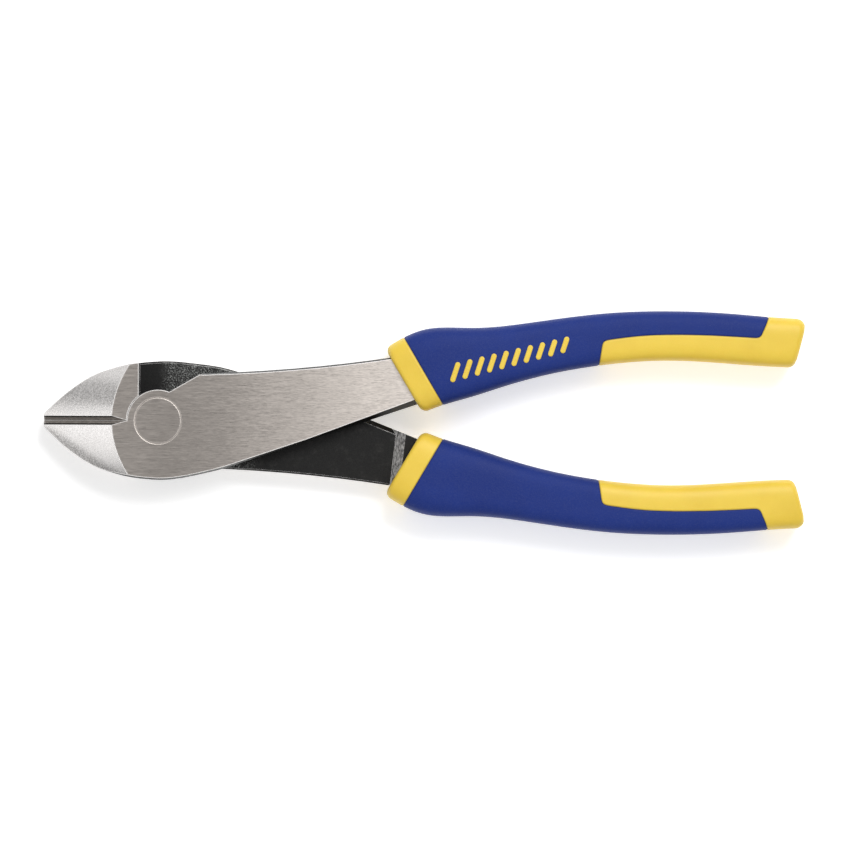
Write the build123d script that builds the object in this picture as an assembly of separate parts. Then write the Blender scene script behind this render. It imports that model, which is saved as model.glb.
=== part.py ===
"""Diagonal cutting pliers, 200 mm class, with a flush-riveted lap joint and two-colour moulded grips.

Frame: millimetres. The origin is on the pivot axis at the flat back face of the head. +X runs from the pivot
to the handle ends, +Y from the lower to the upper handle, and +Z through the rivet, out of the front face.
The jaws are modelled closed. The front lever holds the lower jaw and the upper handle. The rear lever holds
the upper jaw and the lower handle. Both levers are nearly the same forging, and the rear one is turned over
about the long axis. Their jaws are then ground together. The grips are one moulding used twice in that way.
"""
from build123d import *
import math
import os

# ---- head and joint -------------------------------------------------------------------------------------
HEAD_THICK = 12.0
LAP_Z = HEAD_THICK / 2
LAP_GAP = 0.05            # each lever stays this far from the lap plane
PARTING_GAP = 0.03        # each closed jaw stays this far from the parting plane
BOSS_R = 8.25             # round boss of one lever inside the hollow of the other
BOSS_CLEAR = 0.10
SHOULDER = 5.2            # distance of both stop faces from the pivot axis
STOP_ANGLE = 60.0         # degrees of opening at which the stop faces would meet

# ---- rivet ----------------------------------------------------------------------------------------------
RIVET_SHAFT_R = 4.4
RIVET_HEAD_R = 6.2
RIVET_HEAD_RIM = 1.2      # straight height of a head
RIVET_CONE = 1.8          # height of the cone between head and shaft
RIVET_CLEAR = 0.05        # running clearance in the rear lever
RING_WIDE = 0.20          # the broken edge round each head, across and down
RING_DEEP = 0.09

# ---- jaws -----------------------------------------------------------------------------------------------
TIP_X = -30.9
TIP_HALF = 1.6
SLOPE_START_X = -12.4     # where the ground front slope leaves the flat face, on the parting plane
SLOPE_ANGLE = 20.0
SLOPE_RADIUS = 70.0       # the slope is a wide cylinder, so its edge on the flat face is an arc
BACK_SLOPE_START_X = -17.0
BACK_SLOPE_ANGLE = 8.0
EDGE_HEEL_X = -8.1        # where the cutting line comes out of the flat face
GROOVE_HALF = 1.2         # half width of the bevels in front of the cutting line
GORGE_HEEL_X = -10.2
GORGE_HALF_ANGLE = 25.0

# ---- lever outline, upper handle up ---------------------------------------------------------------------
JAW_OUTLINE = [(TIP_X, -TIP_HALF), (-29.3, -3.35), (-25.2, -7.0), (-20.9, -10.1), (-16.9, -12.35),
               (-12.8, -13.8), (-8.5, -14.95), (-3.5, -15.65)]
FRONT_FLANK = [(1.5, -15.85), (6.5, -15.3), (13.9, -13.7), (20.0, -11.95)]
REAR_FLANK = [(2.5, -15.95), (9.5, -15.4), (16.6, -14.4), (23.0, -12.6), (33.0, -9.3), (45.0, -5.1)]
TANG_LOW_END = (72.2, 5.66)
TANG_TOP = [(66.0, 17.75), (38.0, 14.25), (13.0, 12.75)]
DRAFT_WIDE = 0.45         # the forged side walls lean out by this much below the ground face
DRAFT_TALL = 2.4
LAP_CHAMFER = 0.45
BEVEL_GROUND = (1.17, 4.5)   # the inner edge of the handle slopes off: across and down, from the ground face
BEVEL_LAP = (1.2, 1.5)       # the same from the lap face
FRONT_BEVELS = [((51.3, -0.51), (68.0, 5.7)), ((45.0, -3.0), (68.0, 5.4))]
REAR_BEVELS = [((51.3, -1.54), (68.0, 5.35)), ((56.5, 0.73), (63.4, 3.4))]
STEP_AT = (62.9, 10.0)    # the handle gets thicker behind the lap
STEP_RUN = 2.5            # from the lap plane down the ramp
STEP_SKEW = 6.8
TANG_THICK = 9.0          # from the ground face inwards, behind the step
THICK_FROM = 56.0
THICK_OVERLAP = 2.0       # how far the thick stretch reaches up into the lap half

# ---- inner tang, inside the grip ------------------------------------------------------------------------
TANG_CORE_HALF = 3.5
TANG_CORE_ROUND = 1.0
TANG_CORE_TOP = [(64.6, 17.1), (75.0, 19.2), (100.0, 23.3), (119.0, 26.0), (136.0, 26.9), (155.0, 26.0)]
TANG_CORE_LOW = [(71.2, 6.9), (80.0, 10.3), (100.0, 15.6), (119.0, 18.8), (136.0, 19.7), (155.0, 19.1)]

# ---- grip stations: top point, bottom point, half thickness ---------------------------------------------
GRIP_STATIONS = [
    ((60.55, 19.6), (70.65, 2.4), 8.0),
    ((65.6, 22.6), (76.2, 4.5), 8.5),
    ((72.2, 24.95), (83.0, 6.5), 8.6),
    ((84.0, 25.25), (92.0, 9.4), 8.3),
    ((99.0, 26.65), (104.0, 12.75), 7.8),
    ((118.0, 29.15), (120.0, 15.55), 7.4),
    ((136.0, 29.95), (136.5, 16.7), 7.2),
    ((154.0, 29.3), (153.0, 15.95), 7.1),
    ((166.0, 28.35), (163.6, 15.25), 7.1),
    ((173.6, 28.0), (170.2, 15.0), 6.9),
]
COLLAR_END = 1            # the collar ends at this station
GRIP_CORNER = 3.8
GRIP_WALL = 1.6           # thickness of the coloured layers over the inner sleeve
COLLAR_ROUND = 1.1
TAIL_ROUND = 2.2
SLEEVE_FRONT = 2.0        # the sleeve starts this far behind the front of the collar
SLEEVE_TAIL = 4.0

# ---- pad: the inner half of the grip, and its tail ------------------------------------------------------
PAD_LEFT = [(117.6, 8.0), (118.5, 20.2), (120.6, 22.25)]
PAD_RIDGE = [(120.6, 22.25), (137.3, 23.55), (158.6, 22.85)]
PAD_TAIL = [(158.6, 22.85), (161.3, 24.0), (163.9, 31.0)]
PAD_FAR = (180.0, 180.0)

# ---- marking bars ---------------------------------------------------------------------------------------
BAR_COUNT = 10
BAR_FIRST = (79.4, 13.3)
BAR_LAST = (108.6, 20.7)
BAR_SLANT = 72.0          # degrees above +X
BAR_WIDTH = 1.4
BAR_LENGTH_FIRST = 5.6
BAR_LENGTH_LAST = 4.6
BAR_RAISED = 0.25
BAR_DEEP = 0.8
STRIP_WIDTH = 2.4         # the strip that joins the bars, under the skin
STRIP_THICK = 0.5


def prism(outline, low, high):
    """A face in the XY plane as a solid from z = low to z = high."""
    return Pos(0, 0, low) * extrude(outline, amount=high - low)


def turned_over(shape):
    """The same part turned by half a turn about the long axis, at the lap plane."""
    return Pos(0, 0, HEAD_THICK) * Rotation(180, 0, 0) * shape


def half_space(x_low, x_high, y_low, y_high, z_low=-20.0, z_high=40.0):
    """A big box, given by its limits."""
    box = Box(x_high - x_low, y_high - y_low, z_high - z_low, align=(Align.MIN, Align.MIN, Align.MIN))
    return Pos(x_low, y_low, z_low) * box


# ---- lever ----------------------------------------------------------------------------------------------
def stop_direction():
    """The unit vector along the handle's stop face, away from the pivot."""
    angle = math.radians(90 - STOP_ANGLE)
    return math.cos(angle), math.sin(angle)


def stop_point(along):
    """A point on the handle's stop face. along is measured from the foot of the perpendicular."""
    cos_a, sin_a = stop_direction()
    offset = SHOULDER - 0.05
    return -sin_a * offset + cos_a * along, cos_a * offset + sin_a * along


def lever_outline(flank):
    """Outline of the lever's lap half: the lower jaw, the boss and the handle up to the grip.
    flank is the run of the outline from the joint to the straight edge of the handle."""
    boss_meets_stop = stop_point(math.sqrt(BOSS_R**2 - (SHOULDER - 0.05) ** 2))
    start_angle = math.degrees(math.atan2(boss_meets_stop[1], boss_meets_stop[0]))
    middle = math.radians((180 + start_angle) / 2)
    belly = JAW_OUTLINE + flank
    tang_direction = Vector(*TANG_LOW_END) - Vector(*flank[-1])
    corner = stop_point(16.6)
    heel = (-BOSS_R, -PARTING_GAP)
    edges = [
        Line(heel, (TIP_X, -PARTING_GAP)),
        Line((TIP_X, -PARTING_GAP), JAW_OUTLINE[0]),
        Spline(belly, tangents=[(0.6, -1.0), (tang_direction.X, tang_direction.Y)]),
        Line(belly[-1], TANG_LOW_END),
        Line(TANG_LOW_END, TANG_TOP[0]),
        ThreePointArc(TANG_TOP[0], TANG_TOP[1], TANG_TOP[2]),
        Line(TANG_TOP[2], corner),
        Line(corner, boss_meets_stop),
        ThreePointArc(boss_meets_stop, (BOSS_R * math.cos(middle), BOSS_R * math.sin(middle)), heel),
    ]
    return make_face(Wire(edges))


def jaw_outline(flank):
    """Outline of the lower jaw where it fills the other half of the head's thickness."""
    face = lever_outline(flank)
    jaw_side = Pos(-50 - SHOULDER, -50) * Rectangle(100, 100)
    hollow = Circle(BOSS_R + BOSS_CLEAR)
    return face & jaw_side - hollow


def handle_edges(solid, z):
    """The long edges of the handle at height z, between the head and the grip."""
    return [
        edge
        for edge in solid.edges()
        if abs(edge.bounding_box().min.Z - z) < 1e-3
        and abs(edge.bounding_box().max.Z - z) < 1e-3
        and edge.length > 25
        and edge.center().X > 25
    ]


def thick_handle(flank):
    """The thicker stretch of the handle behind the lap, with the ramp that leads up to it."""
    bottom = HEAD_THICK - TANG_THICK
    top = LAP_Z + THICK_OVERLAP
    slope = STEP_RUN / (LAP_Z - bottom)
    ramp = Polyline(
        [(-THICK_OVERLAP * slope, top), (STEP_RUN, bottom), (30, bottom), (30, top)], close=True
    )
    wedge = extrude(Plane.XZ * make_face(ramp), amount=60, both=True)
    wedge = Pos(*STEP_AT) * Rotation(0, 0, STEP_SKEW) * wedge
    outline = lever_outline(flank) & Pos(THICK_FROM + 50, 0) * Rectangle(100, 100)
    return prism(outline, bottom, top) & wedge


def edge_bevel(line, z, size, up):
    """What slopes the inner edge of the handle off, from a line at height z outwards and up or down."""
    start, end = Vector(*line[0]), Vector(*line[1])
    along = (end - start).normalized()
    out = along.cross(Vector(0, 0, 1))
    across, height = size
    normal = out * height + Vector(0, 0, -across if up else across)
    frame = Plane(origin=(start.X, start.Y, z), x_dir=along, z_dir=normal)
    return frame * Box(160, 40, 20, align=(Align.CENTER, Align.CENTER, Align.MIN))


def tang_core():
    """The reduced end of the handle that the grip is pushed onto."""
    outline = make_face(
        Wire(
            [
                Spline(TANG_CORE_LOW),
                ThreePointArc(TANG_CORE_LOW[-1], (158.4, 22.7), TANG_CORE_TOP[-1]),
                Spline(list(reversed(TANG_CORE_TOP))),
                Line(TANG_CORE_TOP[0], TANG_CORE_LOW[0]),
            ]
        )
    )
    core = prism(outline, LAP_Z - TANG_CORE_HALF, LAP_Z + TANG_CORE_HALF)
    rims = [
        e for e in core.edges()
        if e.geom_type != GeomType.LINE and e.bounding_box().max.Z - e.bounding_box().min.Z < 1e-3
    ]
    return fillet(rims, TANG_CORE_ROUND)


def lever_blank(flank, bevels):
    """The forging before its jaw is ground: the front lever's pose."""
    plate = prism(lever_outline(flank), LAP_Z + LAP_GAP, HEAD_THICK)
    plate = chamfer(handle_edges(plate, HEAD_THICK), DRAFT_TALL, DRAFT_WIDE)
    plate = chamfer(handle_edges(plate, LAP_Z + LAP_GAP), LAP_CHAMFER)
    plate -= edge_bevel(bevels[1], LAP_Z + LAP_GAP, BEVEL_LAP, True)
    plate += thick_handle(flank)
    plate -= edge_bevel(bevels[0], HEAD_THICK, BEVEL_GROUND, False)
    jaw = prism(jaw_outline(flank), 0, LAP_Z + LAP_GAP + LAP_CHAMFER)
    return plate + jaw + tang_core()


# ---- grinding of the jaws -------------------------------------------------------------------------------
def slope_plane():
    """A frame on the ground slope: z towards the tip along the slope, x along +Y, y into the jaw."""
    angle = math.radians(SLOPE_ANGLE)
    return Plane(
        origin=(SLOPE_START_X, 0, HEAD_THICK),
        x_dir=(0, 1, 0),
        z_dir=(-math.cos(angle), 0, -math.sin(angle)),
    )


def front_slope_cut():
    """What the grinding wheel takes off the front of both jaws."""
    frame = slope_plane()
    ground = frame * Pos(0, SLOPE_RADIUS, 0) * Cylinder(SLOPE_RADIUS, 90)
    block = half_space(-45, 5, -25, 25, -5, 25)
    return block - ground


def back_slope_cut():
    """What is taken off the back of both jaws near the tip."""
    rise = math.tan(math.radians(BACK_SLOPE_ANGLE)) * 20
    side = Plane.XZ * make_face(
        Polyline(
            [(BACK_SLOPE_START_X, 0), (BACK_SLOPE_START_X - 20, rise), (BACK_SLOPE_START_X - 20, -5),
             (BACK_SLOPE_START_X, -5)],
            close=True,
        )
    )
    return extrude(side, amount=30, both=True)


def cutting_frame():
    """A frame on the cutting line, at its heel: z towards the tip, x along +Y, y down into the head."""
    frame = slope_plane()
    return Plane(origin=(EDGE_HEEL_X, 0, HEAD_THICK), x_dir=frame.x_dir, z_dir=frame.z_dir)


def groove_cut():
    """The two bevels in front of the cutting line."""
    depth = (EDGE_HEEL_X - SLOPE_START_X) * math.sin(math.radians(SLOPE_ANGLE))
    reach = 2.5
    wedge = make_face(
        Polyline([(0, 0), (GROOVE_HALF * reach, -depth * reach), (-GROOVE_HALF * reach, -depth * reach)],
                 close=True)
    )
    return extrude(cutting_frame() * wedge, amount=30)


def gorge_cut():
    """The hollow behind the cutting line, open at the back."""
    depth = 16.0
    half = depth * math.tan(math.radians(GORGE_HALF_ANGLE))
    wedge = make_face(Polyline([(0, 0.12), (half, depth), (-half, depth)], close=True))
    cut = extrude(cutting_frame() * wedge, amount=34)
    return cut & half_space(-45, GORGE_HEEL_X, -20, 20)


# ---- rivet ----------------------------------------------------------------------------------------------
def rivet_shape(grow=0.0):
    """The rivet as a turned solid. grow widens it all round, for the hole that it runs in."""
    rim = RIVET_HEAD_RIM + grow
    cone = rim + RIVET_CONE
    top = HEAD_THICK
    profile = [
        (0, 0), (RIVET_HEAD_R + grow, 0), (RIVET_HEAD_R + grow, rim), (RIVET_SHAFT_R + grow, cone),
        (RIVET_SHAFT_R + grow, top - cone), (RIVET_HEAD_R + grow, top - rim), (RIVET_HEAD_R + grow, top),
        (0, top),
    ]
    return revolve(Plane.XZ * make_face(Polyline(profile, close=True)), Axis.Z)


def pivot_rivet():
    """The rivet, with the edge of each head broken."""
    body = rivet_shape()
    rims = [
        e for e in body.edges()
        if abs(e.length - 2 * math.pi * RIVET_HEAD_R) < 0.01 and e.center().Z % HEAD_THICK < 0.01
    ]
    for rim in rims:
        flat = body.faces().sort_by(Axis.Z)[-1 if rim.center().Z > LAP_Z else 0]
        body = chamfer(rim, RING_WIDE, RING_DEEP, reference=flat)
    return body


def ring_groove(radius, z):
    """The broken edge of a rivet hole, as a cutter."""
    down = 1 if z > LAP_Z else -1
    profile = [(radius - 0.05, z), (radius + RING_WIDE, z), (radius, z - down * RING_DEEP)]
    profile.append((radius - 0.05, z - down * RING_DEEP))
    return revolve(Plane.XZ * make_face(Polyline(profile, close=True)), Axis.Z)


# ---- grip -----------------------------------------------------------------------------------------------
def grip_section(station, inset=0.0):
    """A rounded section of the grip, upright on the line between its top and bottom points."""
    top, low, half = station
    top, low = Vector(*top), Vector(*low)
    across = (top - low).normalized()
    along = across.cross(Vector(0, 0, 1))
    middle = (top + low) * 0.5
    frame = Plane(origin=(middle.X, middle.Y, LAP_Z), x_dir=across, z_dir=along)
    width = (top - low).length - 2 * inset
    return frame * RectangleRounded(width, 2 * (half - inset), GRIP_CORNER - inset)


def end_cut(station, distance, keep_after):
    """A big box on one side of a station's plane, moved by distance along the grip."""
    top, low, _ = station
    top, low = Vector(*top), Vector(*low)
    across = (top - low).normalized()
    along = across.cross(Vector(0, 0, 1))
    middle = (top + low) * 0.5 + along * distance
    frame = Plane(origin=(middle.X, middle.Y, LAP_Z), x_dir=across, z_dir=along)
    align = Align.MIN if keep_after else Align.MAX
    return frame * Box(120, 60, 260, align=(Align.CENTER, Align.CENTER, align))


def grip_skin():
    """The outside of the whole grip as one solid, with rounded ends."""
    body = loft([grip_section(s) for s in GRIP_STATIONS])
    planar = [f for f in body.faces() if f.geom_type == GeomType.PLANE and abs(f.normal_at().Z) < 0.1]
    front = min(planar, key=lambda f: f.center().X)
    tail = max(planar, key=lambda f: f.center().X)
    body = fillet(front.edges(), COLLAR_ROUND)
    tail_edges = [
        e for e in body.edges() if (e.center() - tail.center()).length < 9 and e.center().X > 168.0
    ]
    return fillet(tail_edges, TAIL_ROUND)


def grip_core():
    """The room inside the coloured layers: the outside of the inner sleeve."""
    body = loft([grip_section(s, GRIP_WALL) for s in GRIP_STATIONS])
    body = body & end_cut(GRIP_STATIONS[0], SLEEVE_FRONT, True)
    return body & end_cut(GRIP_STATIONS[-1], -SLEEVE_TAIL, False)


def pad_region():
    """Plan of the pad and tail, taller than the grip."""
    far_x, far_y = PAD_FAR
    outline = make_face(
        Wire(
            [
                Line(PAD_LEFT[0], PAD_LEFT[1]),
                Spline([PAD_LEFT[1], PAD_LEFT[2]], tangents=[(0.15, 1.0), (1.0, 0.1)]),
                ThreePointArc(*PAD_RIDGE),
                Spline([PAD_TAIL[0], PAD_TAIL[1]], tangents=[(1.0, -0.03), (0.35, 1.0)]),
                Line(PAD_TAIL[1], PAD_TAIL[2]),
                Line(PAD_TAIL[2], (far_x, PAD_TAIL[2][1])),
                Line((far_x, PAD_TAIL[2][1]), (far_x, PAD_LEFT[0][1])),
                Line((far_x, PAD_LEFT[0][1]), PAD_LEFT[0]),
            ]
        )
    )
    return prism(outline, -10, 25)


def grip_layer(outer, inner):
    """What lies between two depths below the outside of the grip, on its marked face."""
    body = loft([grip_section(s, outer) for s in GRIP_STATIONS[2:6]])
    return (body - loft([grip_section(s, inner) for s in GRIP_STATIONS[2:6]])) & half_space(
        60, 130, -5, 40, LAP_Z
    )


def marking_bars():
    """The slanted bars that show in the face of the grip, with the strip that joins them below it."""
    first = Vector(*BAR_FIRST)
    last = Vector(*BAR_LAST)
    bars = Part()
    for i in range(BAR_COUNT):
        t = i / (BAR_COUNT - 1)
        length = BAR_LENGTH_FIRST + (BAR_LENGTH_LAST - BAR_LENGTH_FIRST) * t
        at = first + (last - first) * t
        outline = Pos(at.X, at.Y) * Rotation(0, 0, BAR_SLANT) * SlotOverall(length, BAR_WIDTH)
        bars += prism(outline, LAP_Z, HEAD_THICK + 10)
    run = math.degrees(math.atan2(last.Y - first.Y, last.X - first.X))
    centre = (first + last) * 0.5
    slot = SlotOverall((last - first).length + STRIP_WIDTH, STRIP_WIDTH)
    strip = prism(Pos(centre.X, centre.Y) * Rotation(0, 0, run) * slot, LAP_Z, HEAD_THICK + 10)
    bars = bars & grip_layer(-BAR_RAISED, BAR_DEEP)
    return bars + (strip & grip_layer(BAR_DEEP - 0.05, BAR_DEEP - 0.05 + STRIP_THICK))


def build():
    """Every node of the pliers, by name."""
    rivet = pivot_rivet()
    grinding = [front_slope_cut(), back_slope_cut(), groove_cut(), gorge_cut()]
    front = lever_blank(FRONT_FLANK, FRONT_BEVELS)
    rear = turned_over(lever_blank(REAR_FLANK, REAR_BEVELS))
    for cut in grinding:
        front = front - cut
        rear = rear - cut
    front = front - rivet_shape() - ring_groove(RIVET_HEAD_R, HEAD_THICK)
    rear = rear - rivet_shape(RIVET_CLEAR) - ring_groove(RIVET_HEAD_R + RIVET_CLEAR, 0)

    skin = grip_skin()
    core = grip_core()
    bars = marking_bars()
    collar_zone = end_cut(GRIP_STATIONS[COLLAR_END], 0, False)
    pad_zone = pad_region()
    layer = skin - core - front - turned_over(rear)
    collar = layer & collar_zone
    pad = layer & pad_zone
    shell = layer - collar_zone - pad_zone - bars
    sleeve = core - front - turned_over(rear)
    grip = {"sleeve": sleeve, "shell": shell, "collar": collar, "pad": pad, "marking_bars": bars}

    nodes = {"front_half": front, "rear_half": rear, "pivot_rivet": rivet}
    for name, shape in grip.items():
        nodes[f"upper_grip_{name}"] = shape
        nodes[f"lower_grip_{name}"] = turned_over(shape)
    return nodes


if __name__ == "__main__":
    os.makedirs("parts", exist_ok=True)
    for node, shape in build().items():
        export_step(shape, f"parts/{node}.step")
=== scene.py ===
"""Looks of the diagonal cutting pliers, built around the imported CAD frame. Lengths below are in millimetres.

The steel levers and the rivet keep their CAD shapes and get procedural steel. The grips are built here as
one dense skin, which is divided into collar, shell and pad along their seams. The lower grip is the upper
one turned over about the long axis.
"""
import math

import bpy
import numpy as np
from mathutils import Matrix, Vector


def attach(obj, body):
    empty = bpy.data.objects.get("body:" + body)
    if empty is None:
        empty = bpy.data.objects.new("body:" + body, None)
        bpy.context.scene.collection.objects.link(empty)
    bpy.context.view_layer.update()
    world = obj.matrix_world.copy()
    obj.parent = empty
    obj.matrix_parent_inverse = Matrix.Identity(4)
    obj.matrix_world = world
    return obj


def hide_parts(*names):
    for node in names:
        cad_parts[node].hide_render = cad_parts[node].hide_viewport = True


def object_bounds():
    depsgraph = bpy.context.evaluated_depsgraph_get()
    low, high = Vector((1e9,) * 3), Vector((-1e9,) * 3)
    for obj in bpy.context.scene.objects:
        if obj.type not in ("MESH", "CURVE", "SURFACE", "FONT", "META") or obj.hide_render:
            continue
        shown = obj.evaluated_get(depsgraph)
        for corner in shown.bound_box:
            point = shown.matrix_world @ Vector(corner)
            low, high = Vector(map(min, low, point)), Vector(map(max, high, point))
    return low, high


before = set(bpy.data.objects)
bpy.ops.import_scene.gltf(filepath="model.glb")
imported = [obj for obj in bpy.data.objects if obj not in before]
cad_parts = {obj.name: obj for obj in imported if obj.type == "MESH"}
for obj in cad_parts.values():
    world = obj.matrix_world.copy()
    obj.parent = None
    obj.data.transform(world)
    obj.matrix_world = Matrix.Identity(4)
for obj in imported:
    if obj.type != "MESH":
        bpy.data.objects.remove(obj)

cad_low, cad_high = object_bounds()
MM = 0.001
LAP_Z = 6.0               # the lap plane, half way through the head
HEAD_THICK = 12.0
RIVET_RADIUS = 6.2
JAW_ROOT_X = -6.6         # where the ground slopes of the jaws begin
STEP_FROM_X = 60.0        # the worn ramp in the lower handle lies past here

# ---- grip stations: top point, bottom point, half thickness ---------------------------------------------
STATIONS = [
    ((60.55, 19.6), (70.65, 2.4), 8.0),
    ((65.6, 22.6), (76.2, 4.5), 8.5),
    ((72.2, 24.95), (83.0, 6.5), 8.6),
    ((84.0, 25.25), (92.0, 9.4), 8.3),
    ((99.0, 26.65), (104.0, 12.75), 7.8),
    ((118.0, 29.15), (120.0, 15.55), 7.4),
    ((136.0, 29.95), (136.5, 16.7), 7.2),
    ((154.0, 29.3), (153.0, 15.95), 7.1),
    ((166.0, 28.35), (163.6, 15.25), 7.1),
    ((173.6, 28.0), (170.2, 15.0), 6.9),
]
POWER = 4.2               # how square a section is
FRONT_ROUND = (1.9, 1.9, 1.0)  # end roundings: top edge, bottom edge, faces
TAIL_ROUND = (2.9, 1.7, 1.6)
SKIN = 1.4                # thickness of the coloured layers
SEAM_DEEP = 0.16
SEAM_HALF = 0.4
TANG_HOLE = (-0.2, 1.5, 6.95, 4.4)   # centre and half size of the steel where it enters the collar
TANG_HOLE_POWER = 9.0

# ---- pad outline in plan --------------------------------------------------------------------------------
PAD_LEFT = [(117.2, 4.0), (117.8, 14.5), (118.5, 19.9)]
PAD_CORNER = [(118.5, 19.9), (119.0, 21.5), (120.9, 22.2)]
PAD_RIDGE = [(120.9, 22.2), (129.0, 23.2), (137.3, 23.55), (148.0, 23.4), (158.8, 22.85)]
PAD_TAIL = [(158.8, 22.85), (160.7, 23.1), (161.6, 24.6)]
PAD_END = [(161.6, 24.6), (162.6, 27.0), (164.2, 32.0)]

# ---- marking bars ---------------------------------------------------------------------------------------
BAR_COUNT = 10
BAR_FIRST = (79.4, 13.3)
BAR_LAST = (108.6, 20.7)
BAR_SLANT = 72.0
BAR_WIDTH = 1.4
BAR_LENGTHS = (5.6, 4.6)
BAR_RAISED = 0.24
BAR_ROUND = 0.2
BAR_CROWN = 0.02          # the middle of a bar stands this much higher
BAR_DEEP = 0.6


# ---- curves ---------------------------------------------------------------------------------------------
class Curve:
    """A natural cubic spline through rows of values at given distances."""

    def __init__(self, at, rows):
        self.at = np.asarray(at, float)
        self.rows = np.asarray(rows, float)
        n = len(self.at)
        h = np.diff(self.at)
        system = np.eye(n)
        right = np.zeros_like(self.rows)
        for i in range(1, n - 1):
            system[i, i - 1:i + 2] = h[i - 1], 2 * (h[i - 1] + h[i]), h[i]
            slopes = (self.rows[i + 1] - self.rows[i]) / h[i] - (self.rows[i] - self.rows[i - 1]) / h[i - 1]
            right[i] = 6 * slopes
        self.bend = np.linalg.solve(system, right)

    def __call__(self, s):
        s = np.asarray(s, float)
        i = np.clip(np.searchsorted(self.at, s) - 1, 0, len(self.at) - 2)
        h = (self.at[i + 1] - self.at[i])[..., None]
        t = (s - self.at[i])[..., None]
        a = (h - t) / h
        b = t / h
        bent = ((a**3 - a) * self.bend[i] + (b**3 - b) * self.bend[i + 1]) * h * h / 6
        return a * self.rows[i] + b * self.rows[i + 1] + bent


def smooth_line(points, count=24):
    """A natural spline through plan points, as count points."""
    points = np.array(points, float)
    at = np.concatenate([[0], np.cumsum(np.linalg.norm(np.diff(points, axis=0), axis=1))])
    return Curve(at, points)(np.linspace(0, at[-1], count))


def spaced(length, step, dense):
    """Distances from 0 to length, step apart, or closer in each (from, to, step) of dense."""
    out = [0.0]
    while out[-1] < length:
        here = step
        for start, stop, fine in dense:
            away = max(start - out[-1], out[-1] - stop, 0)
            here = min(here, fine + 0.35 * away)
        out.append(out[-1] + here)
    return np.array(out) * length / out[-1]


# ---- the grip's surface ---------------------------------------------------------------------------------
rows = np.array([[*t, *b, h] for t, b, h in STATIONS])
middles = (rows[:, 0:2] + rows[:, 2:4]) / 2
station_at = np.concatenate([[0], np.cumsum(np.linalg.norm(np.diff(middles, axis=0), axis=1))])
GRIP_LENGTH = station_at[-1]
grip_curve = Curve(station_at, rows)


def unit_loop(angle, power):
    """A unit superellipse at the given angles."""
    c, s = np.cos(angle), np.sin(angle)
    grow = (np.abs(c) ** power + np.abs(s) ** power) ** (-1 / power)
    return c * grow, s * grow


def loop_angles():
    """Angles of the points round a section, closer together where the pad's seam runs."""
    fine = np.linspace(0, 2 * math.pi, 4001)
    a, b = unit_loop(fine, POWER)
    length = np.concatenate([[0], np.cumsum(np.hypot(np.diff(a * 7.6), np.diff(b * 7.4)))])
    near = []
    for side in (0.25, 0.75):
        middle = length[int(side * 4000)]
        near.append((middle - 1.0, middle + 1.0, 0.16))
    at = spaced(length[-1], 0.42, near)[:-1]
    return np.interp(at, length, fine)


ANGLES = loop_angles()
RINGS = len(ANGLES)


def surface(s, angle, inset=(0.0, 0.0, 0.0)):
    """Points of the grip's outside at distances s along it and angles round it, moved in by inset."""
    row = grip_curve(s)
    top, low, half = row[..., 0:2], row[..., 2:4], row[..., 4]
    across = top - low
    width = np.linalg.norm(across, axis=-1)
    across = across / width[..., None]
    a, b = unit_loop(angle, POWER)
    out = a * width / 2 - np.clip(a, 0, 1) * inset[0] - np.clip(a, -1, 0) * inset[1]
    plan = (top + low) / 2 + across * out[..., None]
    return np.concatenate([plan, (LAP_Z + b * (half - inset[2]))[..., None]], axis=-1)


def end_inset(s):
    """How far the section's top, bottom and faces are drawn in by the roundings at both ends."""
    insets = []
    for k in range(3):
        inset = np.zeros_like(s)
        for away, radius in ((s, FRONT_ROUND[k]), (GRIP_LENGTH - s, TAIL_ROUND[k])):
            near = np.clip(radius - away, 0, radius)
            inset = np.maximum(inset, radius - np.sqrt(radius**2 - near**2))
        insets.append(inset)
    return insets


def top_of_grip(x, y):
    """Height of the grip's marked face over plan points."""
    s = np.linspace(0, GRIP_LENGTH, 1200)
    row = grip_curve(s)
    top, low = row[:, 0:2], row[:, 2:4]
    across = top - low
    side = across[:, 0] * (y[:, None] - low[:, 1]) - across[:, 1] * (x[:, None] - low[:, 0])
    nearest = np.abs(side / np.linalg.norm(top - low, axis=1)).argmin(axis=1)
    top, low, half = top[nearest], low[nearest], row[nearest, 4]
    width = np.linalg.norm(top - low, axis=1)
    reach = np.hypot(x - low[:, 0], y - low[:, 1])
    a = np.clip(np.abs(2 * reach / width - 1), 0, 1)
    return LAP_Z + half * (1 - a**POWER) ** (1 / POWER)


# ---- the pad's seam -------------------------------------------------------------------------------------
seam = np.concatenate([
    smooth_line(PAD_LEFT, 20)[:-1], smooth_line(PAD_CORNER, 14)[:-1], smooth_line(PAD_RIDGE, 60)[:-1],
    smooth_line(PAD_TAIL, 14)[:-1], smooth_line(PAD_END, 20),
])
pad_outline = np.concatenate([seam, [(200.0, 32.0), (200.0, 4.0)]])


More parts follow.
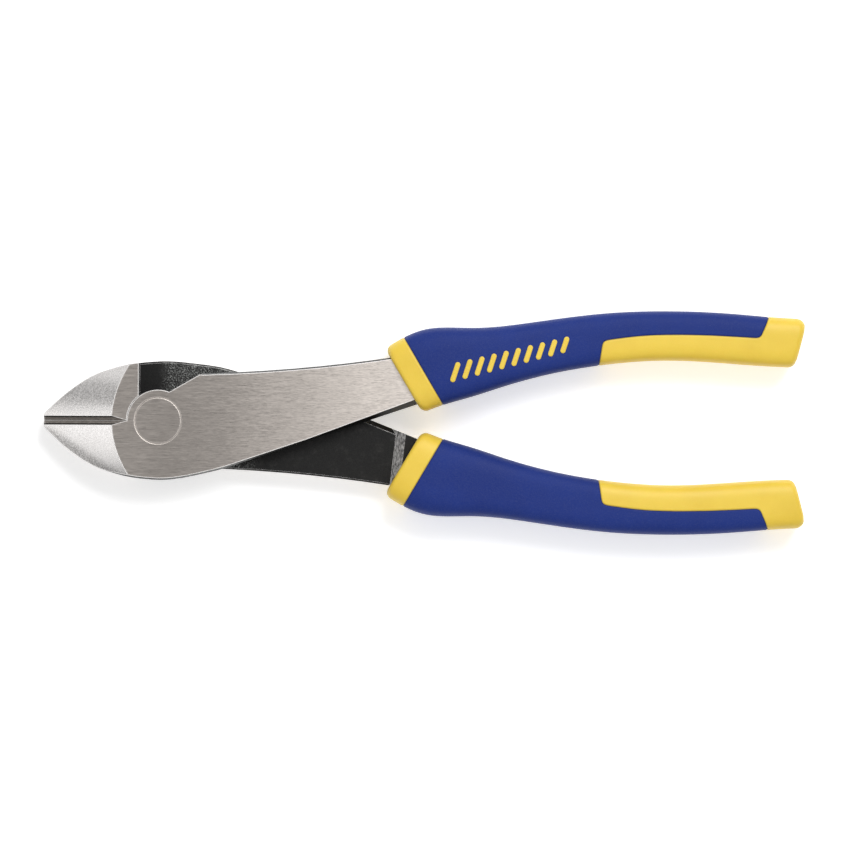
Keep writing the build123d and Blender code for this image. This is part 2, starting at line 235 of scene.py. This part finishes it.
def pad_distance(plan):
    """Signed distance in plan from the pad's seam, positive on the pad."""
    flat = plan.reshape(-1, 2)
    start, stop = seam[:-1], seam[1:]
    d = stop - start
    out = np.empty(len(flat))
    for first in range(0, len(flat), 20000):
        p = flat[first:first + 20000, None, :]
        t = np.clip(((p - start) * d).sum(-1) / (d * d).sum(-1), 0, 1)
        out[first:first + 20000] = np.linalg.norm(p - start - t[..., None] * d, axis=-1).min(axis=1)
    inside = np.zeros(len(flat), bool)
    ring_next = np.roll(pad_outline, -1, axis=0)
    for (x0, y0), (x1, y1) in zip(pad_outline, ring_next):
        crosses = (y0 > flat[:, 1]) != (y1 > flat[:, 1])
        if y0 != y1:
            inside ^= crosses & (flat[:, 0] < (x1 - x0) * (flat[:, 1] - y0) / (y1 - y0) + x0)
    return np.where(inside, out, -out).reshape(plan.shape[:-1])


def snapped_grid():
    """The grip's grid, with the points nearest the pad's seam moved onto it.
    Returns positions, signed distances from the seam, and the distances along the grip."""
    collar_s = station_at[1]
    dense = [(0, 1.9, 0.16), (collar_s - 0.4, collar_s + 0.4, 0.13), (GRIP_LENGTH - 3.0, GRIP_LENGTH, 0.25)]
    for x0, x1 in ((117.6, 120.6), (158.6, 163.4)):
        s0, s1 = np.interp([x0, x1], (rows[:, 0] + rows[:, 2]) / 2, station_at)
        dense.append((s0, s1, 0.17))
    s = spaced(GRIP_LENGTH, 0.45, dense)
    collar_ring = int(np.abs(s - collar_s).argmin())
    s[collar_ring] = collar_s
    s_grid = np.repeat(s[:, None], RINGS, axis=1)
    w_grid = np.repeat(ANGLES[None, :], len(s), axis=0)

    def place(s_at, w_at):
        return surface(s_at, w_at, end_inset(s_at))

    def distance(s_at, w_at):
        return pad_distance(place(s_at, w_at)[..., 0:2])

    d = distance(s_grid, w_grid)
    best = np.full(d.shape, np.inf)
    new_s, new_w = s_grid.copy(), w_grid.copy()
    for axis in (0, 1):
        if axis == 0:
            i, j = np.nonzero(d[:-1] * d[1:] < 0)
            i2, j2 = i + 1, j
        else:
            i, j = np.nonzero(d * np.roll(d, -1, axis=1) < 0)
            i2, j2 = i, (j + 1) % RINGS
        s0, s1 = s_grid[i, j], s_grid[i2, j2]
        w0 = w_grid[i, j]
        w1 = np.where(j2 == 0, 2 * math.pi, w_grid[i2, j2]) if axis == 1 else w_grid[i2, j2]
        low, high = np.zeros(len(i)), np.ones(len(i))
        sign = np.sign(d[i, j])
        for _ in range(14):
            mid = (low + high) / 2
            here = np.sign(distance(s0 + (s1 - s0) * mid, w0 + (w1 - w0) * mid))
            low = np.where(here == sign, mid, low)
            high = np.where(here == sign, high, mid)
        mid = (low + high) / 2
        for k in range(len(i)):
            near_first = mid[k] < 0.5
            at = (i[k], j[k]) if near_first else (i2[k], j2[k])
            moved = mid[k] if near_first else 1 - mid[k]
            if moved < best[at]:
                best[at] = moved
                new_s[at] = s0[k] + (s1[k] - s0[k]) * mid[k]
                new_w[at] = w0[k] + (w1[k] - w0[k]) * mid[k]
    on_seam = np.isfinite(best)
    d = distance(new_s, new_w)
    d[on_seam] = 0
    return place(new_s, new_w), d, s, collar_ring


def vertex_normals(points, faces):
    """Area-weighted normals of a mesh of triangles and quads."""
    normals = np.zeros_like(points)
    for size in (3, 4):
        chosen = np.array([f for f in faces if len(f) == size], int)
        if len(chosen) == 0:
            continue
        corners = points[chosen]
        first = corners[:, size - 2] - corners[:, 0]
        second = corners[:, size - 1] - corners[:, size - 3]
        n = np.cross(first, second)
        for k in range(size):
            np.add.at(normals, chosen[:, k], n)
    return normals / np.maximum(np.linalg.norm(normals, axis=1), 1e-12)[:, None]


def grip_skin():
    """The whole grip as points, faces and a piece number for each face: 0 collar, 1 shell, 2 pad."""
    grid, d, s, collar_ring = snapped_grid()
    rows_n = len(s)
    points = list(grid.reshape(-1, 3))
    faces, piece = [], []

    def at(i, j):
        return i * RINGS + j % RINGS

    flat_d = d.reshape(-1)
    for i in range(rows_n - 1):
        for j in range(RINGS):
            quad = [at(i, j), at(i, j + 1), at(i + 1, j + 1), at(i + 1, j)]
            if i < collar_ring:
                faces.append(quad)
                piece.append(0)
                continue
            sign = [int(np.sign(flat_d[k])) for k in quad]
            if 1 in sign and -1 in sign:
                turn = 0 if sign[0] == 0 else 1
                q = quad[turn:] + quad[:turn]
                g = sign[turn:] + sign[:turn]
                faces += [[q[0], q[1], q[2]], [q[0], q[2], q[3]]]
                piece += [2 if g[1] > 0 else 1, 2 if g[3] > 0 else 1]
                continue
            if 1 in sign or -1 in sign:
                faces.append(quad)
                piece.append(2 if 1 in sign else 1)
                continue
            centre = grid.reshape(-1, 3)[quad].mean(axis=0)[None, 0:2]
            faces.append(quad)
            piece.append(2 if pad_distance(centre)[0] > 0 else 1)

    def add_ring(loop, before, front, number):
        """A loop of points joined to the ring that starts at index before."""
        start = len(points)
        points.extend(loop)
        for j in range(RINGS):
            a, b = before + j, before + (j + 1) % RINGS
            c, e = start + (j + 1) % RINGS, start + j
            faces.append([a, e, c, b] if front else [a, b, c, e])
            piece.append(number)
        return start

    # the front of the collar, in to the steel
    row = grip_curve(np.array([0.0]))[0]
    across = (row[0:2] - row[2:4]) / np.linalg.norm(row[0:2] - row[2:4])
    forward = np.array([across[1], -across[0]])
    middle = (row[0:2] + row[2:4]) / 2
    hole_a, hole_b = unit_loop(ANGLES, TANG_HOLE_POWER)
    p, q, half_p, half_q = TANG_HOLE
    hole = np.concatenate([
        middle + across * (p + hole_a * half_p)[:, None], (LAP_Z + q + hole_b * half_q)[:, None]
    ], axis=1)
    outer = grid[0]
    before = 0
    for t in (0.25, 0.5, 0.72, 0.86, 1.0):
        loop = outer + (hole - outer) * t
        sink = 0.35 * max(0.0, (t - 0.72) / 0.28) ** 2
        loop[:, 0:2] += forward * sink
        before = add_ring(loop, before, True, 0)

    # the tail, closed in rings towards its middle
    before = (rows_n - 1) * RINGS
    centre = grid[-1].mean(axis=0)
    for t in (0.15, 0.32, 0.5, 0.68, 0.84, 0.95):
        before = add_ring(grid[-1] + (centre - grid[-1]) * t, before, False, 2)
    points.append(centre)
    for j in range(RINGS):
        faces.append([before + j, before + (j + 1) % RINGS, len(points) - 1])
        piece.append(2)

    points = np.array(points)
    seam_d = np.full(len(points), 99.0)
    seam_d[:rows_n * RINGS] = np.abs(flat_d)
    collar_d = np.full(len(points), 99.0)
    collar_d[:rows_n * RINGS] = np.repeat(np.abs(s - s[collar_ring]), RINGS)
    ring_no = np.repeat(np.arange(rows_n), RINGS)
    seam_d[:rows_n * RINGS][ring_no < collar_ring] = 99.0
    away = np.minimum(seam_d, collar_d)
    return points, faces, np.array(piece), away


def make_object(name, points, faces):
    """A smooth-shaded mesh object from points in millimetres."""
    mesh = bpy.data.meshes.new(name)
    mesh.from_pydata([tuple(p * MM) for p in points], [], faces)
    mesh.validate()
    mesh.shade_smooth()
    obj = bpy.data.objects.new(name, mesh)
    bpy.context.scene.collection.objects.link(obj)
    return obj


def turned_over(points):
    """The points turned by half a turn about the long axis, at the lap plane."""
    return points * np.array([1, -1, -1]) + np.array([0, 0, 2 * LAP_Z])


def grip_pieces():
    """Closed collar, shell and pad, by name: points, faces and each point's distance from a seam."""
    points, faces, piece, away = grip_skin()
    normals = vertex_normals(points, faces)
    groove = SEAM_DEEP * np.clip(1 - (away / SEAM_HALF) ** 2, 0, 1) ** 2
    outside = points - normals * groove[:, None]
    inside = points - normals * SKIN
    out = {}
    for number, name in enumerate(("collar", "shell", "pad")):
        mine = [f for f, k in zip(faces, piece) if k == number]
        used = np.unique(np.concatenate([np.array(f) for f in mine]))
        new = np.full(len(points), -1)
        new[used] = np.arange(len(used))
        mine = [[int(new[k]) for k in f] for f in mine]
        n = len(used)
        edges = {}
        for f in mine:
            for a, b in zip(f, f[1:] + f[:1]):
                edges[(a, b)] = edges.get((a, b), 0) + 1
        walls = [[b, a, a + n, b + n] for (a, b) in edges if (b, a) not in edges]
        inner = [[k + n for k in reversed(f)] for f in mine]
        out[name] = (
            np.concatenate([outside[used], inside[used]]),
            mine + inner + walls,
            np.concatenate([away[used], np.full(n, 99.0)]),
        )
    return out


def slot_loop(length, width, count=14):
    """The outline of a slot along its own first axis."""
    angles = np.linspace(-math.pi / 2, math.pi / 2, count)
    end = np.stack([np.cos(angles), np.sin(angles)], axis=1) * width / 2
    half = (length - width) / 2
    return np.concatenate([end + [half, 0], -end - [half, 0]])


def marking_bars():
    """The row of raised bars let into the face of the grip."""
    points, faces = [], []
    slant = math.radians(BAR_SLANT)
    turn = np.array([[math.cos(slant), math.sin(slant)], [-math.sin(slant), math.cos(slant)]])
    first, last = np.array(BAR_FIRST), np.array(BAR_LAST)
    for i in range(BAR_COUNT):
        t = i / (BAR_COUNT - 1)
        length = BAR_LENGTHS[0] + (BAR_LENGTHS[1] - BAR_LENGTHS[0]) * t
        steps = [(0.0, -BAR_DEEP), (0.0, 0.0)]
        for k in range(5):
            angle = k / 4 * math.pi / 2
            inset = BAR_ROUND * (1 - math.cos(angle))
            steps.append((inset, BAR_RAISED - BAR_ROUND * (1 - math.sin(angle))))
        steps += [(inset, BAR_RAISED + BAR_CROWN) for inset in (0.45, 0.58)]
        start = len(points)
        for inset, up in steps:
            loop = slot_loop(length - 2 * inset, BAR_WIDTH - 2 * inset) @ turn + first + (last - first) * t
            z = top_of_grip(loop[:, 0], loop[:, 1]) + up
            points.extend(np.column_stack([loop, z]))
        n = (len(points) - start) // len(steps)
        for r in range(len(steps) - 1):
            for j in range(n):
                a, b = start + r * n + j, start + r * n + (j + 1) % n
                faces.append([a, b, b + n, a + n])
        faces.append([start + j for j in reversed(range(n))])
        faces.append([start + (len(steps) - 1) * n + j for j in range(n)])
    return np.array(points), faces


# ---- materials ------------------------------------------------------------------------------------------
class Nodes:
    """A short way to write a material's nodes."""

    def __init__(self, name):
        self.material = bpy.data.materials.new(name)
        self.material.use_nodes = True
        self.tree = self.material.node_tree
        self.shader = self.tree.nodes["Principled BSDF"]
        self.coords = self.tree.nodes.new("ShaderNodeTexCoord")
        self.object = self.vector("SCALE", self.coords.outputs["Object"], scale=1000.0)
        split = self.add("ShaderNodeSeparateXYZ", {0: self.object})
        self.x, self.y, self.z = split.outputs
        normal = self.add("ShaderNodeSeparateXYZ", {0: self.coords.outputs["Normal"]})
        self.nx, self.ny, self.nz = normal.outputs

    def add(self, kind, inputs=None, **settings):
        node = self.tree.nodes.new(kind)
        for key, value in settings.items():
            setattr(node, key, value)
        for key, value in (inputs or {}).items():
            if isinstance(value, bpy.types.NodeSocket):
                self.tree.links.new(value, node.inputs[key])
            else:
                node.inputs[key].default_value = value
        return node

    def vector(self, operation, first, second=None, scale=None):
        inputs = {0: first}
        if second is not None:
            inputs[1] = second
        if scale is not None:
            inputs["Scale"] = scale
        node = self.add("ShaderNodeVectorMath", inputs, operation=operation)
        return node.outputs["Value" if operation in ("DOT_PRODUCT", "LENGTH") else "Vector"]

    def math(self, operation, first, second=0.0, third=0.0):
        inputs = {0: first, 1: second, 2: third}
        return self.add("ShaderNodeMath", inputs, operation=operation).outputs[0]

    def ramp(self, value, low, high, to_low=0.0, to_high=1.0):
        """value from low to high, turned smoothly into to_low to to_high."""
        inputs = {"Value": value, "From Min": low, "From Max": high, "To Min": to_low, "To Max": to_high}
        return self.add("ShaderNodeMapRange", inputs, interpolation_type="SMOOTHSTEP").outputs[0]

    def noise(self, scale, stretch=(1, 1, 1), detail=2.0, rough=0.5, offset=(0, 0, 0)):
        """Noise with about scale cells in a millimetre."""
        at = self.vector("MULTIPLY", self.object, stretch)
        at = self.vector("ADD", at, offset)
        inputs = {"Vector": at, "Scale": scale, "Detail": detail, "Roughness": rough}
        return self.add("ShaderNodeTexNoise", inputs, noise_type="FBM").outputs["Fac"]

    def mix(self, factor, first, second):
        inputs = {"Factor": factor, 6: first, 7: second}
        return self.add("ShaderNodeMix", inputs, data_type="RGBA").outputs[2]

    def blend(self, factor, first, second):
        inputs = {"Factor": factor, 2: first, 3: second}
        return self.add("ShaderNodeMix", inputs, data_type="FLOAT").outputs[0]

    def bump(self, height, distance, strength, before=None):
        inputs = {"Height": height, "Distance": distance * MM, "Strength": strength}
        if before is not None:
            inputs["Normal"] = before
        return self.add("ShaderNodeBump", inputs).outputs["Normal"]

    def edges(self, radius, samples, flat, sharp):
        """The normal rounded over edges, and a mask of the edges: 0 where the bend is flat, 1 at sharp."""
        rounded = self.add("ShaderNodeBevel", {"Radius": radius * MM}, samples=samples).outputs[0]
        true_normal = self.add("ShaderNodeNewGeometry").outputs["True Normal"]
        return rounded, self.ramp(self.vector("DOT_PRODUCT", rounded, true_normal), flat, sharp)

    def set(self, **values):
        for key, value in values.items():
            socket = self.shader.inputs[key.replace("_", " ")]
            if isinstance(value, bpy.types.NodeSocket):
                self.tree.links.new(value, socket)
            else:
                socket.default_value = value


def grey(value, tint=(1.0, 1.0, 1.0)):
    """A grey of this brightness, tinted."""
    return (value * tint[0], value * tint[1], value * tint[2], 1.0)


WARM = (1.0, 0.915, 0.845)
PALE = (1.0, 0.975, 0.96)


def ground_places(n):
    """Where the steel is ground bright, and in it the slopes of the jaws and the groove between them."""
    front = n.ramp(n.z, HEAD_THICK - 0.10, HEAD_THICK - 0.04)
    back = n.ramp(n.z, 0.10, 0.04)
    jaw = n.math("MULTIPLY", n.ramp(n.x, JAW_ROOT_X, JAW_ROOT_X - 0.3), n.ramp(n.nz, 0.25, 0.4))
    jaw_back = n.math("MULTIPLY", n.ramp(n.x, -16.5, -17.0), n.ramp(n.nz, -0.6, -0.8))
    ground = n.math("MAXIMUM", n.math("MAXIMUM", front, back), n.math("MAXIMUM", jaw, jaw_back))
    slope = n.math("MULTIPLY", jaw, n.ramp(n.nz, 0.985, 0.97))
    groove = n.math("MULTIPLY", jaw, n.ramp(n.nz, 0.80, 0.74))
    return ground, slope, groove


def flat_colour(n, lines):
    """Brushed flats: grinding lines, painted darker round the rivet as painted shade, and streaked along the
    handle.
    """
    flat = n.mix(n.ramp(lines, 0.36, 0.64), grey(0.54, WARM), grey(0.68, WARM))
    # painted shade: the flats round the rivet are painted darker
    painted_shade_head = n.math("MULTIPLY", n.ramp(n.x, -7.0, 3.0), n.ramp(n.x, 31.0, 15.0))
    flat = n.mix(n.math("MULTIPLY", painted_shade_head, 0.38), flat, grey(0.36, WARM))
    dark_lines = n.math("MULTIPLY", n.ramp(n.x, 5.0, 50.0, 0.10, 0.45), n.ramp(lines, 0.55, 0.40))
    flat = n.mix(dark_lines, flat, grey(0.44, WARM))
    streaks = n.noise(4.4, (0.17, 1, 1), 2.0, 0.6, (6.0, 2.0, 5.0))
    streaks = n.math("MULTIPLY", n.ramp(streaks, 0.40, 0.62), n.ramp(n.x, -5.0, 50.0, 0.18, 0.75))
    return n.mix(streaks, flat, grey(0.79, WARM))


def jaw_colour(n, dust):
    """Polished slopes of the jaws, with painted shade along the lower jaw's outline and painted darker towards
    the lower jaw's outer edge.
    """
    polished = n.mix(n.ramp(dust, 0.36, 0.64), grey(0.545, PALE), grey(0.765, PALE))
    # painted shade: a grainy dark band along the lower jaw's outline
    painted_shade_outline = n.math("SUBTRACT", n.math("ABSOLUTE", n.y), n.math("MULTIPLY_ADD", n.x, 0.63, 21.8))
    painted_shade_outline = n.math("MULTIPLY", n.ramp(painted_shade_outline, -2.8, 0.5), n.ramp(n.y, -1.0, -2.0))
    painted_shade_outline = n.math("MULTIPLY", painted_shade_outline, n.ramp(dust, 0.62, 0.42, 0.35, 0.95))
    polished = n.mix(painted_shade_outline, polished, grey(0.16, PALE))
    # painted shade: darker towards the lower jaw's outer edge
    lower = n.ramp(n.math("SUBTRACT", n.math("MULTIPLY", n.x, -0.35), n.y), 9.5, 18.0, 0.0, 0.35)
    return n.mix(lower, polished, grey(0.35, PALE))


def groove_colour(n, lines):
    """The bevels of the cutting edges, painted darker than the other ground steel as painted shade of the
    groove, and near black as painted shade where they reach the slopes.
    """
    # painted shade: the groove's tone is darker than the other ground steel
    painted_shade_groove = n.mix(n.ramp(lines, 0.35, 0.65), grey(0.38, WARM), grey(0.19, WARM))
    # painted shade: near black where the bevels reach the slopes
    return n.mix(n.ramp(n.math("ABSOLUTE", n.y), 0.70, 0.88), painted_shade_groove, grey(0.03, WARM))


def black_colour(n, grain, edge):
    """Black oxide, grainy, with pits on the lap, painted shade on tilted faces towards the handle, and bare
    steel where it is touched, which along the edges is also painted highlight.
    """
    blotch = n.noise(0.35, (1, 1, 1), 4.0, 0.6, (9.0, 1.0, 4.0))
    black = n.mix(n.ramp(grain, 0.3, 0.75), grey(0.008), grey(0.024, (1.0, 0.98, 0.96)))
    black = n.mix(n.ramp(blotch, 0.5, 0.8, 0.0, 0.5), black, grey(0.05, (1.0, 0.96, 0.92)))
    # painted shade: tilted black faces towards the handle, such as the bevel at the crotch, are painted darker
    painted_shade_tilted = n.math("MULTIPLY", n.ramp(n.math("ABSOLUTE", n.nz), 0.96, 0.90), n.ramp(n.x, 36.0, 42.0))
    black = n.mix(painted_shade_tilted, black, grey(0.003))

    pitted = n.math("MULTIPLY", n.ramp(n.x, -0.5, 5.0), n.ramp(n.x, 28.0, 20.0))
    specks = n.ramp(n.noise(2.8, (1, 1, 1), 3.0, 0.7, (2.0, 5.0, 9.0)), 0.44, 0.68)
    specks = n.math("MULTIPLY", specks, n.ramp(n.noise(0.5, (1, 1, 1), 2.0, 0.5), 0.3, 0.7, 0.4, 1.2))
    black = n.mix(n.math("MULTIPLY", pitted, specks), black, grey(0.36, (0.98, 1.0, 0.97)))

    step = n.math("MULTIPLY", n.ramp(n.nx, -0.5, -0.75), n.ramp(n.x, STEP_FROM_X, STEP_FROM_X + 0.5))
    drawn = n.noise(3.6, (1, 0.22, 1), 3.0, 0.7, (3.0, 3.0, 6.0))
    step = n.math("MULTIPLY", step, n.ramp(drawn, 0.40, 0.60, 0.12, 1.0))
    # bare steel on touched edges: wear, and also painted highlight along the edges; the step's streak is wear
    touched = n.ramp(n.math("ADD", grain, blotch), 0.75, 1.15, 0.25, 1.0)
    edge_wear_and_highlight = n.math("MAXIMUM", n.math("MULTIPLY", edge, touched), step)
    return n.mix(edge_wear_and_highlight, black, grey(0.72, PALE))


def steel_material(name, all_ground=False):
    """Forged steel: ground bright on the outer faces and jaws, black elsewhere, with bright edges that are
    painted highlight, on the black also bare worn steel.
    """
    n = Nodes(name)
    edge_normal, edge = n.edges(0.22, 6, 0.995, 0.93)
    _, fine_edge = n.edges(0.36, 5, 0.9993, 0.9955)
    ground, slope, groove = ground_places(n)
    if all_ground:
        ground = n.math("MAXIMUM", ground, 1.0)

    # grinding lines along the tool, in two widths
    fine = n.noise(5.5, (0.06, 1, 1), 3.0, 0.7)
    wide = n.noise(2.2, (0.05, 1, 1), 2.0, 0.6, (3.1, 7.7, 1.3))
    lines = n.math("MULTIPLY_ADD", fine, 0.7, n.math("MULTIPLY", wide, 0.3))
    cloud = n.noise(0.05, (1, 1, 1), 3.0, 0.55, (1.0, 4.0, 2.0))
    dust = n.noise(2.6, (1, 1, 1), 3.0, 0.65, (4.0, 1.0, 8.0))
    grain = n.noise(5.0, (1, 1, 1), 4.0, 0.65)

    bright = n.mix(slope, flat_colour(n, lines), jaw_colour(n, dust))
    bright = n.mix(n.ramp(cloud, 0.3, 0.7, 0.0, 0.2), bright, grey(0.52, WARM))
    bright = n.mix(groove, bright, groove_colour(n, lines))

    # painted highlight: bright rims along the edges, faint round the rivet and left out in the groove
    from_axis = n.vector("LENGTH", n.vector("MULTIPLY", n.object, (1, 1, 0)))
    ring = n.math("ABSOLUTE", n.math("SUBTRACT", from_axis, RIVET_RADIUS))
    painted_highlight_rim = n.math("MULTIPLY", fine_edge, n.ramp(dust, 0.25, 0.5, 0.6, 1.0))
    painted_highlight_rim = n.math("MULTIPLY", painted_highlight_rim, n.math("SUBTRACT", 1.0, groove))
    painted_highlight_rim = n.math("MULTIPLY", painted_highlight_rim, n.ramp(ring, 0.15, 0.75, 0.08, 1.0))
    bright = n.mix(painted_highlight_rim, bright, grey(0.95, PALE))

    # the painted highlight rims and the groove lose metal shine
    matt = n.math("MAXIMUM", painted_highlight_rim, n.math("MULTIPLY", groove, 0.6))
    ground_rough = n.ramp(lines, 0.25, 0.75, 0.26, 0.36)
    ground_rough = n.blend(n.ramp(ring, 0.3, 0.15), ground_rough, 0.6)
    ground_rough = n.blend(slope, ground_rough, n.ramp(dust, 0.3, 0.7, 0.13, 0.23))
    ground_height = n.blend(slope, n.math("MULTIPLY", lines, 0.12), dust)
    height = n.blend(ground, n.math("MULTIPLY", grain, 3.0), ground_height)
    n.set(
        Base_Color=n.mix(ground, black_colour(n, grain, edge), bright),
        Specular_IOR_Level=0.25,
        Metallic=n.blend(ground, 0.55, n.ramp(matt, 0.0, 1.0, 1.0, 0.05)),
        Roughness=n.blend(ground, n.ramp(grain, 0.2, 0.8, 0.42, 0.6), ground_rough),
        Normal=n.bump(height, 0.008, 0.7, edge_normal),
    )
    return n.material


def grip_material(name, dark, light, worn_and_sheen, roughness, grain_size, grain_deep, flank_sheen_amount):
    """Moulded grip skin: a fine grain, a few specks, flanks painted lighter as grainy painted sheen, and dark
    seams.
    """
    n = Nodes(name)
    seam_away = n.add("ShaderNodeAttribute", attribute_name="seam_away").outputs["Fac"]
    grain = n.noise(grain_size, (1, 1, 1), 3.0, 0.6)
    fine = n.noise(grain_size * 3.1, (1, 1, 1), 2.0, 0.6, (5.0, 3.0, 1.0))
    cloud = n.noise(0.06, (1, 1, 1), 4.0, 0.6, (2.0, 8.0, 3.0))
    specks = n.ramp(n.noise(1.7, (1, 1, 1), 2.0, 0.5, (7.0, 7.0, 1.0)), 0.70, 0.78)
    colour = n.mix(n.ramp(cloud, 0.3, 0.7), dark, light)
    colour = n.mix(n.ramp(grain, 0.35, 0.8, 0.0, 0.12), colour, worn_and_sheen)
    colour = n.mix(n.math("MULTIPLY", specks, 0.10), colour, worn_and_sheen)
    # painted sheen: flanks, found by their normals, are painted lighter in grainy specks, less towards the
    # tail
    flank = n.ramp(n.math("ABSOLUTE", n.nz), 0.75, 0.25)
    painted_sheen = n.ramp(n.noise(3.4, (1, 1, 1), 3.0, 0.7, (1.0, 9.0, 6.0)), 0.50, 0.66)
    painted_sheen = n.math("MULTIPLY", painted_sheen, n.ramp(n.x, 78.0, 105.0, 1.0, 0.55))
    colour = n.mix(n.math("MULTIPLY", n.math("MULTIPLY", flank, painted_sheen), flank_sheen_amount), colour, worn_and_sheen)
    seam = n.ramp(seam_away, 0.32, 0.0)
    soil = n.mix(0.55, dark, (0.02, 0.02, 0.02, 1.0))
    colour = n.mix(n.math("MULTIPLY", seam, 0.75), colour, soil)
    n.set(
        Base_Color=colour,
        Roughness=n.ramp(n.math("ADD", grain, cloud), 0.6, 1.4, roughness - 0.06, roughness + 0.08),
        Normal=n.bump(n.math("MULTIPLY_ADD", fine, 0.5, grain), grain_deep, 0.8),
    )
    return n


steel = steel_material("forged_steel")
rivet_steel = steel_material("rivet_steel", all_ground=True)
blue = grip_material("blue_grip", (0.008, 0.024, 0.165, 1), (0.010, 0.029, 0.19, 1),
                     (0.13, 0.15, 0.24, 1), 0.56, 3.2, 0.05, 0.5)
blue.set(Sheen_Weight=0.03, Sheen_Roughness=0.4, Sheen_Tint=(0.8, 0.8, 0.85, 1.0), Specular_IOR_Level=0.15)
yellow = grip_material("yellow_grip", (0.705, 0.486, 0.040, 1), (0.76, 0.540, 0.052, 1),
                       (0.90, 0.69, 0.16, 1), 0.46, 3.6, 0.03, 0.1)
yellow.set(Subsurface_Weight=0.12, Subsurface_Scale=0.0012, Subsurface_Radius=(1.0, 0.5, 0.15))
blue, yellow = blue.material, yellow.material


def finish_cad(node, material):
    """Give a CAD mesh its one material."""
    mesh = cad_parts[node].data
    mesh.materials.clear()
    mesh.materials.append(material)


finish_cad("front_half", steel)
finish_cad("rear_half", steel)
finish_cad("pivot_rivet", rivet_steel)
for side in ("upper", "lower"):
    finish_cad(f"{side}_grip_sleeve", yellow)

# ---- grips ----------------------------------------------------------------------------------------------
shells = grip_pieces()
bar_points, bar_faces = marking_bars()
shells["marking_bars"] = (bar_points, bar_faces, np.full(len(bar_points), 99.0))
for side, body in (("upper", "front_lever"), ("lower", "rear_lever")):
    for name, (points, faces, away) in shells.items():
        placed = points if side == "upper" else turned_over(points)
        obj = make_object(f"{side}_{name}", placed, faces)
        attribute = obj.data.attributes.new("seam_away", "FLOAT", "POINT")
        attribute.data.foreach_set("value", away.astype(np.float32))
        obj.data.materials.append(blue if name == "shell" else yellow)
        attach(obj, body)
        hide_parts(f"{side}_grip_{name}")

# ---- floor, light and camera, in metres -----------------------------------------------------------------
FLOOR_REACH = 3.0
FLOOR_GAP = 0.0002
floor_mesh = bpy.data.meshes.new("floor")
floor_z = cad_low.z - FLOOR_GAP
floor_mesh.from_pydata(
    [(x * FLOOR_REACH, y * FLOOR_REACH, floor_z) for x, y in ((-1, -1), (1, -1), (1, 1), (-1, 1))],
    [], [(0, 1, 2, 3)],
)
floor = bpy.data.objects.new("floor", floor_mesh)
bpy.context.scene.collection.objects.link(floor)
pale = bpy.data.materials.new("floor")
pale.use_nodes = True
paint = pale.node_tree.nodes["Principled BSDF"].inputs
paint["Base Color"].default_value = (0.92, 0.92, 0.92, 1)
paint["Roughness"].default_value = 0.9
paint["Specular IOR Level"].default_value = 0.1
paint["Emission Color"].default_value = (1, 1, 1, 1)
paint["Emission Strength"].default_value = 0.42
floor_mesh.materials.append(pale)


def area_light(name, at, aim, size, power):
    """A white rectangular light at one point, aimed at another."""
    data = bpy.data.lights.new(name, "AREA")
    data.shape = "RECTANGLE"
    data.size, data.size_y = size
    data.energy = power
    light = bpy.data.objects.new(name, data)
    light.location = at
    light.rotation_euler = (Vector(aim) - Vector(at)).to_track_quat("-Z", "Y").to_euler()
    light.visible_camera = False
    bpy.context.scene.collection.objects.link(light)


area_light("key", (0.36, 0.58, 0.96), (0.08, 0, 0), (0.5, 0.5), 8.0)
area_light("jaw_light", (-0.635, -0.12, 0.766), (-0.02, 0, 0), (0.46, 0.24), 0.36)
area_light("jaw_light_far", (-0.62, 0.36, 0.72), (-0.02, 0, 0), (0.18, 0.26), 0.10)
area_light("tang_light", (0.098, 0.0, 0.17), (0.098, 0, 0), (0.11, 0.26), 0.068)

world = bpy.data.worlds.new("studio")
world.use_nodes = True
bpy.context.scene.world = world
tree = world.node_tree
direction = tree.nodes.new("ShaderNodeTexCoord")
split = tree.nodes.new("ShaderNodeSeparateXYZ")
shade = tree.nodes.new("ShaderNodeMapRange")
shade.interpolation_type = "SMOOTHSTEP"
shade.inputs["From Min"].default_value = 0.99
shade.inputs["From Max"].default_value = 0.80
shade.inputs["To Min"].default_value = 0.26
shade.inputs["To Max"].default_value = 0.55
tree.links.new(direction.outputs["Generated"], split.inputs[0])
tree.links.new(split.outputs[2], shade.inputs["Value"])
tree.links.new(shade.outputs[0], tree.nodes["Background"].inputs["Color"])
tree.nodes["Background"].inputs["Strength"].default_value = 1.0

bpy.context.scene.view_settings.view_transform = "Standard"

CAMERA_AWAY = 1.6
FRAME_WIDE = 0.2271
camera_data = bpy.data.cameras.new("camera")
camera_data.sensor_width = 36.0
camera_data.lens = camera_data.sensor_width * CAMERA_AWAY / FRAME_WIDE
camera_data.clip_end = 20.0
camera = bpy.data.objects.new("camera", camera_data)
camera.location = (0.07138, -0.00084, HEAD_THICK * MM + CAMERA_AWAY)
camera.rotation_euler = (0, 0, math.radians(0.27))
bpy.context.scene.collection.objects.link(camera)
bpy.context.scene.camera = camera
